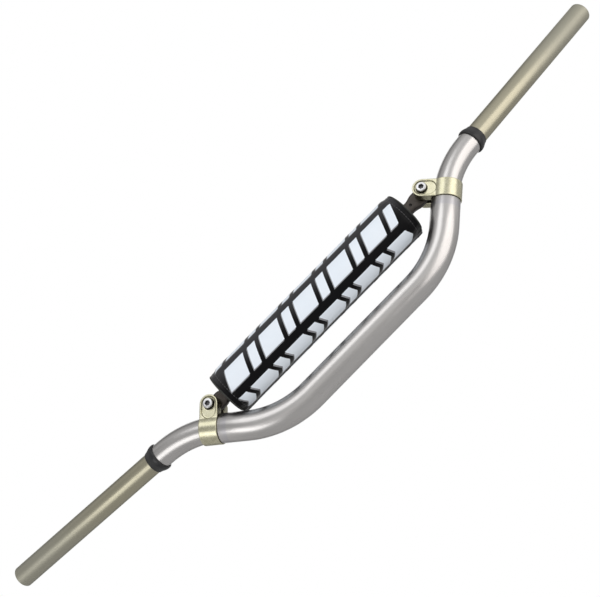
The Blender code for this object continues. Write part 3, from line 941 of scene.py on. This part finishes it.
def clamp_bore():
    """Cutter that follows the swaged tube through the clamp."""
    wide = OUTER_DIAMETER / 2 + FIT
    narrow = NECK_DIAMETER / 2 + FIT
    neck = SHOULDER_END + FIT
    rings = [(RISER_END + CLAMP_PAST_RISER - CLAMP_WIDTH, wide), (SHOULDER_START + FIT, wide)]
    rings += [(neck + CLAMP_WIDTH * step / 8, narrow) for step in range(10)]
    bore = bmesh.new()
    swept_rings(bore, rings)
    bmesh.ops.holes_fill(bore, edges=bore.edges, sides=0)
    face_outwards(bore)
    return bore


def clamp(name, side, node, finish):
    """Forged band with two ears, split by the slot for the crossbar."""
    half = CLAMP_WIDTH / 2
    along = CLAMP_FRAME @ Matrix.Rotation(-math.pi / 2, 4, "Z")
    body = rod(BAND_RADIUS, -half, half, CLAMP_SIDES, along)
    outline = [(-EAR_RADIUS, 0), (EAR_RADIUS, 0)]
    outline += arc(0, CLAMP_BOLT_REACH, EAR_RADIUS, 0, math.pi, CLAMP_EAR_STEPS)
    just_inside = CLAMP_FRAME @ Matrix.Scale(0.999, 4)
    ears = prism(outline, -EAR_FACE, EAR_FACE, just_inside)

    reach = CLAMP_BOLT_REACH + CLAMP_WIDTH
    gap = [(-CLAMP_WIDTH, 0), (CLAMP_WIDTH, 0), (CLAMP_WIDTH, reach), (-CLAMP_WIDTH, reach)]
    slot = prism(gap, -SLOT_HALF, SLOT_HALF, CLAMP_FRAME)
    foot = CLAMP_BOLT_REACH - POCKET_LENGTH
    pocket = arc(0, CLAMP_BOLT_REACH, POCKET_RADIUS, 0, math.pi, 30)
    pocket += arc(0, foot, POCKET_RADIUS, math.pi, 2 * math.pi, 30)
    outside = -EAR_FACE - BAND_RADIUS
    recess = prism(pocket, outside, -EAR_FACE + POCKET_DEPTH, CLAMP_FRAME)
    counterbore = rod(HEAD_DIAMETER / 2 + FIT, outside, -SCREW_SEAT, HOLE_SIDES, BOLT_FRAME)
    hole = rod(SCREW_DIAMETER / 2 + FIT, -2 * EAR_FACE, 2 * EAR_FACE, HOLE_SIDES, BOLT_FRAME)
    cutters = (clamp_bore(), slot, recess, counterbore, hole)
    solid = carved(body, ("UNION", ears), *[("DIFFERENCE", cutter) for cutter in cutters])

    move(solid, CLAMP_FRAME.inverted())
    builder = remeshed(solid, CLAMP_VOXEL, CLAMP_SMOOTHING)
    move(builder, CLAMP_FRAME)
    return finished(name, builder, finish, "champagne_gold", node, side=side, crease=math.pi)


def screw(name, side, node, finish):
    """Cap screw with a knurled head and a hexagonal socket."""
    head = HEAD_DIAMETER / 2
    shank = SCREW_DIAMETER / 2
    under = -SCREW_SEAT - FIT
    top = SCREW_TOP
    tip = EAR_FACE - SCREW_TIP_INSET
    profile = [(top, 0)]
    profile += arc(top + SCREW_EDGE, head - SCREW_EDGE, SCREW_EDGE, math.pi, math.pi / 2, 4)
    profile += [(top + SCREW_EDGE + KNURL_MARGIN, head), (under - SCREW_EDGE, head)]
    profile += [(under, head - HEAD_UNDERCUT), (under, shank)]
    profile += [(tip - SCREW_EDGE, shank), (tip, shank - SCREW_EDGE), (tip, 0)]
    builder = turned(profile, KNURLS * 2, Matrix.Identity(4), closed=False)
    for vert in builder.verts:
        radius = math.hypot(vert.co.y, vert.co.z)
        if top + SCREW_EDGE < vert.co.x < under - HEAD_UNDERCUT and radius > shank:
            tooth = round(math.atan2(vert.co.z, vert.co.y) / math.pi * KNURLS) % 2
            scale = 1 - tooth * KNURL_DEPTH / head
            vert.co.y *= scale
            vert.co.z *= scale
    place = Matrix.Translation(BOLT_FRAME.translation)
    to_y = place @ Matrix.Rotation(math.pi / 2, 4, "Z")
    move(builder, to_y)
    socket = rod(SOCKET_CORNER, top - SOCKET_DEPTH, top + SOCKET_DEPTH, 6, place)
    mouth = rod(SOCKET_CORNER, top - SOCKET_MOUTH, top + SOCKET_MOUTH, HOLE_SIDES, place)
    builder = carved(builder, ("DIFFERENCE", socket), ("DIFFERENCE", mouth))
    return finished(name, builder, finish, "bright_screw", node, side=side)


# Crossbar


def on_axis(x):
    return Matrix.Translation((x, 0, CROSSBAR_HEIGHT))


def section(half_depth, half_height, squareness):
    """Superellipse in the YZ plane: 2 is an ellipse, more is flatter."""
    points = []
    for step in range(CROSSBAR_SIDES):
        angle = 2 * math.pi * step / CROSSBAR_SIDES
        c = math.cos(angle)
        s = math.sin(angle)
        points.append((
            half_depth * math.copysign(abs(c) ** (2 / squareness), c),
            half_height * math.copysign(abs(s) ** (2 / squareness), s),
        ))
    return points


def crossbar_rows():
    """Rings of places along the right half."""
    round_half = CROSSBAR_DIAMETER / 2
    flat_half = CROSSBAR_FLAT_THICKNESS / 2
    wide_half = CROSSBAR_FLAT_WIDTH / 2
    press_start = BOLT_X - FLAT_FROM_BOLT - FLATTENING_LENGTH
    spade_start = -PAD_LEFT - HEM_DEPTH
    spade_end = BOLT_X - SPADE_FROM_BOLT
    stages = [(0, round_half, round_half, ROUND)]
    for share in spread(0, 1, EASE_STEPS):
        ease = smooth_step(share)
        depth = round_half + (flat_half - round_half) * ease
        place = press_start + FLATTENING_LENGTH * share
        stages.append((place, depth, round_half, ROUND + (FLAT - ROUND) * ease))
    for share in spread(0, 1, EASE_STEPS):
        height = round_half + (wide_half - round_half) * smooth_step(share)
        stages.append((spade_start + (spade_end - spade_start) * share, flat_half, height, FLAT))
    for step, angle in enumerate(spread(0, SPADE_TURN, EASE_STEPS)):
        past = (step - EASE_STEPS + SPADE_EDGE_STEPS) / SPADE_EDGE_STEPS
        rim = flat_half - SPADE_EDGE * smooth_step(past)
        stages.append((BOLT_X + wide_half * math.sin(angle), rim, wide_half * math.cos(angle), FLAT))
    return [[(x, y, z) for y, z in section(*sizes)] for x, *sizes in stages]


def crossbar(finish):
    """Round rod, pressed flat towards each end, widened and rounded off about the screw."""
    rows = crossbar_rows()
    builder = bmesh.new()
    ring = [builder.verts.new(place) for place in rows[0]]
    edges = [builder.edges.new((ring[i - 1], ring[i])) for i in range(len(ring))]
    edges = extruded(builder, edges, rows[1:])
    bmesh.ops.holes_fill(builder, edges=edges, sides=0)
    bmesh.ops.mirror(builder, geom=everything(builder), axis="X", merge_dist=WELD)
    bmesh.ops.remove_doubles(builder, verts=builder.verts, dist=WELD)
    face_outwards(builder)
    bmesh.ops.translate(builder, vec=(0, 0, CROSSBAR_HEIGHT), verts=builder.verts)
    vent = (BOLT_X - VENT_FROM_BOLT, VENT_DIAMETER / 2, VENT_SIDES)
    hole = (BOLT_X, SCREW_DIAMETER / 2 + FIT, HOLE_SIDES)
    cuts = []
    for side in (1, -1):
        for x, radius, sides in (vent, hole):
            cutter = rod(radius, -CUTTER_REACH, CUTTER_REACH, sides, on_axis(side * x))
            cuts.append(("DIFFERENCE", cutter))
    builder = carved(builder, *cuts)
    return finished("bar_crossbar", builder, finish, "dark_crossbar", "crossbar")


# Pad

PAD_MIDDLE = (PAD_LEFT + PAD_RIGHT) / 2
PAD_LENGTH = PAD_RIGHT - PAD_LEFT
ALONG_PAD = on_axis(PAD_MIDDLE) @ Matrix.Rotation(math.pi / 2, 4, "Z")
HEM_RADIUS = PAD_RADIUS - SWELL_START
PAD_BORE = CROSSBAR_DIAMETER / 2 + BORE_GAP
LAP = FLAP_WIDTH / PAD_RADIUS
FLAP_START = SEAM_ANGLE - LAP / 2
FLAP_END = FLAP_START + 2 * math.pi + LAP
FLAP_LIFT = 2 * TAPE_THICKNESS + 3 * FIT + COVER_THICKNESS


def flap_lift(angle):
    """How far the flap stands off the round, over the tapes and its own lower layer."""
    rise = FLAP_RISE / PAD_RADIUS
    return FLAP_LIFT * smooth_step((angle - (FLAP_END - LAP - rise)) / rise)


def outward(angle):
    return Vector((0, math.cos(angle), math.sin(angle)))


def on_pad(x, angle, radius):
    return Vector((x, 0, CROSSBAR_HEIGHT)) + outward(angle) * radius


def is_sewn(place):
    """Near a hem."""
    return min(place.x - PAD_LEFT, PAD_RIGHT - place.x) < SEWN_WIDTH


def blown_up(builder):
    """Cloth simulation of a closed skin that is held where it is sewn."""
    held = [vert.index for vert in builder.verts if is_sewn(vert.co)]
    item = temporary(builder)
    item.vertex_groups.new(name="sewn").add(held, 1.0, "ADD")
    cloth = item.modifiers.new("skin", "CLOTH")
    cloth.settings.use_pressure = True
    cloth.settings.uniform_pressure_force = PRESSURE
    cloth.settings.tension_stiffness = SKIN_STIFFNESS
    cloth.settings.compression_stiffness = SKIN_STIFFNESS
    cloth.settings.shear_stiffness = SKIN_STIFFNESS / 3
    cloth.settings.effector_weights.gravity = 0.0
    cloth.settings.vertex_group_mass = "sewn"
    cloth.collision_settings.use_collision = False
    for frame_number in range(1, SWELL_FRAMES + 1):
        bpy.context.scene.frame_set(frame_number)
    blown = evaluated(item)
    bpy.context.scene.frame_set(1)
    return blown


def swollen_body():
    builder = rod(HEM_RADIUS, -PAD_LENGTH / 2, PAD_LENGTH / 2, 96, ALONG_PAD)
    builder = remeshed(builder, SWELL_VOXEL)
    at_rest = [vert.co.copy() for vert in builder.verts]
    builder = blown_up(builder)
    for vert, rest in zip(builder.verts, at_rest):
        swell = vert.co - rest
        if swell.length > SWELL_CAP:
            vert.co = rest + swell.normalized() * SWELL_CAP
    bmesh.ops.subdivide_edges(
        builder, edges=builder.edges, cuts=1, smooth=0.6, use_grid_fill=True)
    tree = BVHTree.FromBMesh(builder)
    builder.free()
    return tree


PAD_SKIN = swollen_body()


def skin_radius(x, angle):
    """Distance of the simulated skin from the pad's axis."""
    x = min(max(x, PAD_LEFT + SKIN_END), PAD_RIGHT - SKIN_END)
    hit = PAD_SKIN.ray_cast(on_pad(x, angle, RAY_START), outward(angle))
    return min(RAY_START + hit[3], PAD_RADIUS - SKIN_INSET)


def seam_share(angle):
    """1 where the cover lies flat over and under the closing tapes, 0 away from them."""
    turned_by = math.remainder(angle - SEAM_ANGLE, 2 * math.pi)
    away = abs(turned_by) * PAD_RADIUS - FLAP_WIDTH / 2 - FLAP_RISE
    return 1 - smooth_step(away / FLAP_RISE)


def unevenness(x, angle, along, around, shift=0.0):
    """Smooth noise over the cover."""
    y = math.cos(angle) * around + shift
    return noise.noise(Vector((x * along, y, math.sin(angle) * around)))


def cover_radius(x, angle):
    """Outside of the cover: the swollen skin, gathered a little where it is stitched."""
    from_end = min(x - PAD_LEFT, PAD_RIGHT - x)
    from_stitches = from_end - HEM_STITCH_INSET
    flat = seam_share(angle)
    tuck = HEM_TUCK * (1 - smooth_step(from_end / HEM_TUCK_WIDTH)) * (1 - 0.5 * flat)
    gathered = PUCKER_DEPTH * math.exp(-abs(from_stitches) / PUCKER_REACH)
    puckers = math.cos(PUCKERS * angle + 5 * unevenness(x, angle, 30, 2)) * gathered
    groove = STITCH_GROOVE * math.exp(-(from_stitches / STITCH_GROOVE_WIDTH) ** 2)
    folds = unevenness(x, angle, 70, 3.1, 7) * FOLD_DEPTH
    soft = skin_radius(x, angle) - groove + puckers + folds
    return soft + (PAD_RADIUS - soft) * flat - tuck + flap_lift(angle)


def pad_cover(finish):
    """Vinyl sheet wrapped once round the foam, with a flap that laps over its own edge."""
    angles = spread(FLAP_START, FLAP_END, COVER_ROUND_STEPS)
    places = spread(PAD_LEFT, PAD_RIGHT, COVER_LONG_STEPS)
    rows = [[on_pad(x, angle, cover_radius(x, angle)) for angle in angles] for x in places]
    builder = bmesh.new()
    first = [builder.verts.new(place) for place in rows[0]]
    edges = [builder.edges.new(pair) for pair in zip(first, first[1:])]
    extruded(builder, edges, rows[1:])
    face_outwards(builder)
    builder.faces.ensure_lookup_table()
    probe = builder.faces[0]
    middle = probe.calc_center_median()
    if probe.normal.dot(middle - Vector((middle.x, 0, CROSSBAR_HEIGHT))) < 0:
        bmesh.ops.reverse_faces(builder, faces=builder.faces)
    walled(builder, COVER_THICKNESS)
    piece = finished("pad_cover_sewn", builder, finish, "black_vinyl", "pad_cover")
    return piece


def pad_piping(name, end, finish):
    """Piping cord round the rim of the pad."""
    centre = end + math.copysign(PIPING_TUCK, PAD_MIDDLE - end)
    profile = arc(0, HEM_RADIUS - PIPING_INSET, PIPING_RADIUS, 0, 2 * math.pi, 12)[:-1]
    builder = turned(profile, PIPING_SIDES, on_axis(centre))
    return finished(name, builder, finish, "black_vinyl", crease=math.pi)


def pad_end(name, end, node, finish):
    """Vinyl disc, gathered round the crossbar."""
    inward = math.copysign(1, PAD_MIDDLE - end)
    rim = HEM_RADIUS - COVER_THICKNESS - DISC_GAP
    face = on_axis(end + inward * HEM_DEPTH)
    profile = [(0.0, radius) for radius in spread(PAD_BORE, rim, EASE_STEPS)]
    builder = turned(profile, DISC_SIDES, face, closed=False)
    for vert in builder.verts:
        y = vert.co.y
        z = vert.co.z - CROSSBAR_HEIGHT
        share = (math.hypot(y, z) - PAD_BORE) / (rim - PAD_BORE)
        angle = math.atan2(z, y)
        wave = math.cos(DISC_GATHERS * angle + 2.0 * math.sin(3 * angle))
        gathers = DISC_GATHER_DEPTH * wave * max(1 - share, 0) ** 1.5
        crown = DISC_CROWN * math.sin(math.pi * min(max(share, 0), 1))
        vert.co.x += inward * (gathers - crown + DISC_SHIFT)
    walled(builder, DISC_THICKNESS)
    return finished(name, builder, finish, "black_vinyl", node, crease=math.pi)


def pad_foam(finish):
    """Slit foam sleeve inside the cover."""
    outer = HEM_RADIUS - COVER_THICKNESS - FOAM_GAP
    full = SEAM_ANGLE + 2 * math.pi
    slit = FOAM_SLIT / 2 / outer
    inner_slit = FOAM_SLIT / 2 / PAD_BORE
    ring = arc(0, 0, outer, SEAM_ANGLE + slit, full - slit, 96)
    ring += arc(0, 0, PAD_BORE, full - inner_slit, SEAM_ANGLE + inner_slit, 48)
    reach = PAD_LENGTH / 2 - HEM_DEPTH - END_THICKNESS - FOAM_END_GAP
    builder = prism(ring, -reach, reach, ALONG_PAD)
    return finished("pad_foam_sleeve", builder, finish, "grey_foam", "pad_foam")


def tape(name, level, node, finish):
    """Closing tape under the flap."""
    half = TAPE_WIDTH / 2 / PAD_RADIUS
    centre = SEAM_ANGLE + TAPE_SHIFT / PAD_RADIUS
    low = PAD_RADIUS + FIT + level * (TAPE_THICKNESS + FIT)
    outline = arc(0, 0, low + TAPE_THICKNESS, centre - half, centre + half, 24)
    outline += arc(0, 0, low, centre + half, centre - half, 24)
    reach = PAD_LENGTH / 2 - HEM_STITCH_INSET - HEM_DEPTH
    builder = prism(outline, -reach, reach, ALONG_PAD)
    return finished(name, builder, finish, "grey_tape", node)


def add_stitch(builder, x, angle, along):
    """One stitch: a small rounded rod that lies on the cover."""
    away = outward(angle)
    place = on_pad(x, angle, cover_radius(x, angle) + THREAD_RADIUS * THREAD_PROUD)
    turn = Matrix((along, away.cross(along), away)).transposed().to_4x4()
    size = Matrix.Diagonal((STITCH_LENGTH / 2, THREAD_RADIUS, THREAD_RADIUS, 1))
    lie = Matrix.Rotation(math.pi / 2, 4, "Y")
    bmesh.ops.create_uvsphere(
        builder, u_segments=6, v_segments=4, radius=1,
        matrix=Matrix.Translation(place) @ turn @ size @ lie,
    )


def hem_stitches(finish):
    """A row round each end and two along the flap's edge."""
    builder = bmesh.new()
    turn = FLAP_END - FLAP_START - LAP
    count = round(turn * PAD_RADIUS / STITCH_PITCH)
    for x in (PAD_LEFT + HEM_STITCH_INSET, PAD_RIGHT - HEM_STITCH_INSET):
        for index in range(count):
            angle = FLAP_START + LAP + turn * (index + 0.5) / count
            add_stitch(builder, x, angle, outward(angle + math.pi / 2))
    length = PAD_LENGTH - 2 * FLAP_STITCH_END
    count = round(length / STITCH_PITCH)
    for inset in FLAP_STITCH_INSETS:
        for index in range(count):
            x = PAD_LEFT + FLAP_STITCH_END + length * (index + 0.5) / count
            add_stitch(builder, x, FLAP_END - inset / PAD_RADIUS, Vector((1, 0, 0)))
    return finished("pad_stitches", builder, finish, "grey_tape", crease=math.pi)


# Stage


def add_floor():
    """Wide pale floor that fades out into the room, and is clear from below for low views."""
    builder = bmesh.new()
    low = Matrix.Translation((0, 0, -FLOOR_DROP))
    bmesh.ops.create_grid(builder, x_segments=1, y_segments=1, size=FLOOR_SIZE / 2, matrix=low)
    finish = Finish("floor_white")
    x, y, _ = finish.axes(finish.place)
    grain = finish.noise(3.0, 2.0)
    finish.set(Base_Color=finish.mix(grain, FLOOR_DARK, FLOOR_LIGHT), Roughness=0.8)
    faded = finish.ramp(finish.maths("SQRT", x * x + y * y), FLOOR_FADES, FLOOR_SIZE / 2)
    below = finish.add("ShaderNodeNewGeometry", output=6)
    clear = finish.add("ShaderNodeBsdfTransparent")
    solid = Signal(finish, finish.shader.outputs[0])
    share = finish.maths("MAXIMUM", below, faded)
    both = finish.add("ShaderNodeMixShader", {0: share, 1: solid, 2: clear})
    finish.plug(finish.tree.nodes["Material Output"].inputs["Surface"], both)
    mesh = as_mesh("studio_floor", builder)
    mesh.materials.append(finish.material)
    placed("studio_floor", mesh)


def add_world():
    """Soft grey room, white behind the bar as the camera sees it."""
    world = bpy.data.worlds.new("studio")
    bpy.context.scene.world = world
    world.use_nodes = True
    shading = Shading(world.node_tree)
    direction = shading.add("ShaderNodeTexCoord", output=0)
    ahead = (CAMERA_AIM - CAMERA_PLACE).normalized()
    behind = shading.dot(direction, ahead)
    glow = shading.ramp(behind, WHITE_FROM, WHITE_FULL)
    shade = ROOM_LEVEL - behind * ROOM_FALL - shading.ramp(behind, 0.30, 0.72) * ROOM_DIP
    shade = shade - shading.ramp(shading.dot(direction, DARK_SIDE), 0.80, 0.95) * DARK_SIDE_DIP
    x, _, z = shading.axes(direction)
    shade = shade + shading.ramp(x, 0.15, 0.85) * RIGHT_LIFT
    shade = shade + shading.ramp(0.0 - x, 0.15, 0.85) * LEFT_LIFT
    level = shade + glow * (1.0 - shade)
    background = world.node_tree.nodes["Background"]
    shading.plug(background.inputs["Strength"], level)
    warmth = shading.ramp(0.0 - z, 0.0, 0.6)
    shading.plug(background.inputs["Color"], shading.mix(warmth, NEUTRAL, WARM))


def add_lamp(name, tint, direction, distance, width, height, radiance):
    """Soft box that looks at the bar from a direction, its width level."""
    lamp = bpy.data.lights.new(name, "AREA")
    lamp.shape = "RECTANGLE"
    lamp.color = tint
    lamp.size = width
    lamp.size_y = height
    lamp.energy = radiance * width * height * math.pi
    item = placed(name, lamp)
    item.location = direction.normalized() * distance
    item.rotation_mode = "QUATERNION"
    item.rotation_quaternion = (-direction).to_track_quat("-Z", "Y")
    item.visible_camera = False


def add_camera():
    """Camera at the photograph's angle, fitted to the bar's outline."""
    camera = bpy.data.cameras.new("camera")
    camera.lens = CAMERA_LENS
    camera.sensor_width = SENSOR_WIDTH
    camera.clip_start = 0.01
    item = placed("camera", camera)
    look = (CAMERA_AIM - CAMERA_PLACE).to_track_quat("-Z", "Y").to_matrix().to_4x4()
    roll = Matrix.Rotation(CAMERA_ROLL, 4, "Z")
    item.matrix_world = Matrix.Translation(CAMERA_PLACE) @ look @ roll
    bpy.context.scene.camera = item


def dress():
    outer_tube(satin_silver())
    inner_tube(olive_bronze())
    black = collar_black()
    gold = champagne_gold()
    bright = bright_screw()
    vinyl = plain_vinyl()
    piping = piping_vinyl()
    for side, label, end in ((1, "right", PAD_RIGHT), (-1, "left", PAD_LEFT)):
        collar("bar_collar_" + label, side, "collar_" + label, black)
        clamp("forged_clamp_" + label, side, "clamp_" + label, gold)
        screw("cap_screw_" + label, side, "clamp_screw_" + label, bright)
        pad_piping("pad_piping_" + label, end, piping)
        pad_end("pad_disc_" + label, end, "pad_end_" + label, vinyl)
    crossbar(dark_crossbar())
    pad_cover(printed_vinyl())
    pad_foam(grey_foam())
    nap = grey_tape()
    tape("closing_loops", 0, "loop_tape", nap)
    tape("closing_hooks", 1, "hook_tape", nap)
    hem_stitches(stitch_thread())


def set_stage():
    scene = bpy.context.scene
    scene.view_settings.view_transform = "Standard"
    add_camera()
    add_floor()
    add_world()
    add_lamp("front_top_box", COOL, Vector((0.09, -0.80, 0.60)), 1.7, 1.34, 0.80, 1.46)
    add_lamp("right_box", WARM, Vector((0.74, -0.51, -0.44)), 1.5, 1.50, 1.4, 1.56)
    add_lamp("left_box", NEUTRAL, Vector((-0.73, -0.63, -0.25)), 1.5, 0.6, 0.8, 1.95)


dress()
set_stage()
